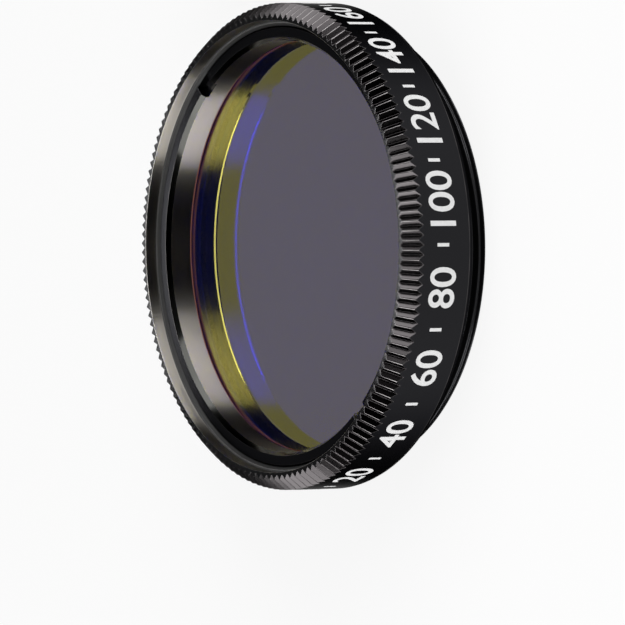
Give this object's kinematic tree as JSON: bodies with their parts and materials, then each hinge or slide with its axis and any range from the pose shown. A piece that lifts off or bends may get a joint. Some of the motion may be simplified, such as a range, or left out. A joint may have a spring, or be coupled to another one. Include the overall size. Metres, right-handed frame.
{
  "type": "optical bandpass filter",
  "caption": "Round threaded filter cell for an eyepiece barrel: coated glass disc held by a slotted retaining ring, V-grooved grip bevel around the mouth, plain band and male thread.",
  "frame": {"origin": "centre of the annular end face of the male thread, on the optical axis; the part lies on this face", "axes": "+Z along the optical axis, from the male thread towards the open mouth; the two spanner slots lie on a line at 39.6 degrees from +X towards +Y"},
  "size_m": [0.0316, 0.0316, 0.0072],
  "materials": {
    "black_anodised": "gloss black anodised",
    "ring_anodised": "turned, black anodised",
    "coated_glass": "polished with reflective coatings"
  },
  "bodies": {
    "root": {"cell": "black_anodised", "retaining_ring": "ring_anodised", "filter_glass": "coated_glass"}
  },
  "joints": []
}
